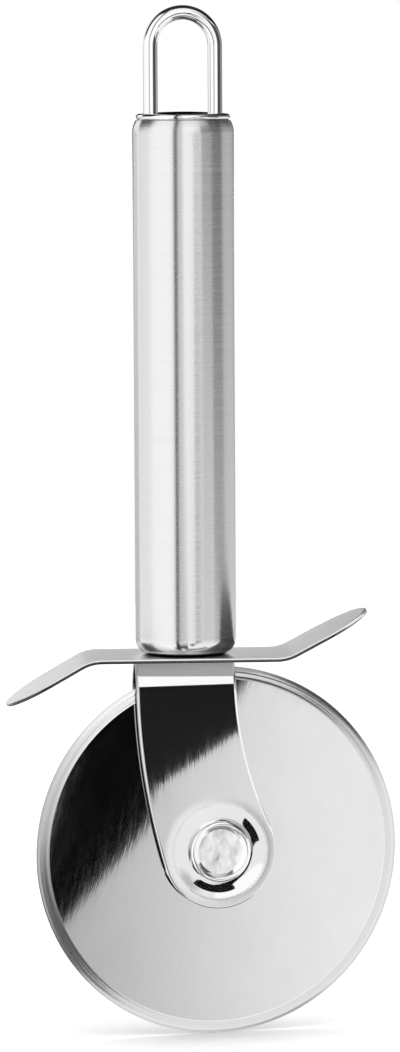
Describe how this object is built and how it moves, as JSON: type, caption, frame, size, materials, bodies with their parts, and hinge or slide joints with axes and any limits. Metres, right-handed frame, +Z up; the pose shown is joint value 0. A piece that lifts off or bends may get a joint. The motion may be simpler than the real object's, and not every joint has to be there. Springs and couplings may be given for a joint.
{
  "type": "pizza cutter",
  "caption": "Stainless pizza cutter with a freely turning wheel in a folded fork, a bent finger guard, a brushed tube handle and a wire hanging loop.",
  "frame": {"origin": "where a hook touches the inside of the hanging loop at its top, on the handle's axis", "axes": "+Z up along the handle from the wheel to the loop, +Y along the wheel's axle from the rivet's head to its washer, +X to the side that the fork leans to"},
  "size_m": [0.0746, 0.0283, 0.1943],
  "materials": {
    "brushed_handle": "stainless steel with fine brushing round the tube",
    "satin_guard": "stainless steel with a satin finish along the strip",
    "polished_trim": "polished stainless steel",
    "polished_fork": "mirror-polished stainless steel",
    "polished_rivet": "polished stainless steel with press marks",
    "polished_wheel": "mirror-polished stainless steel with a ground bevel",
    "plain_steel": "plain turned steel"
  },
  "bodies": {
    "frame": {"handle_tube": "brushed_handle", "threaded_insert": "plain_steel", "end_cap": "polished_trim", "hanging_loop": "polished_trim", "finger_guard": "satin_guard", "fork": "polished_fork", "fork_stud": "plain_steel", "axle_sleeve": "plain_steel", "axle_rivet": "polished_rivet", "rivet_washer": "polished_rivet"},
    "wheel": {"cutting_wheel": "polished_wheel"}
  },
  "joints": [
    {"name": "wheel_spin", "type": "hinge", "parent": "frame", "child": "wheel", "pos_m": [0.0059, 0, -0.1566], "axis": [0, 1, 0], "continuous": true}
  ]
}
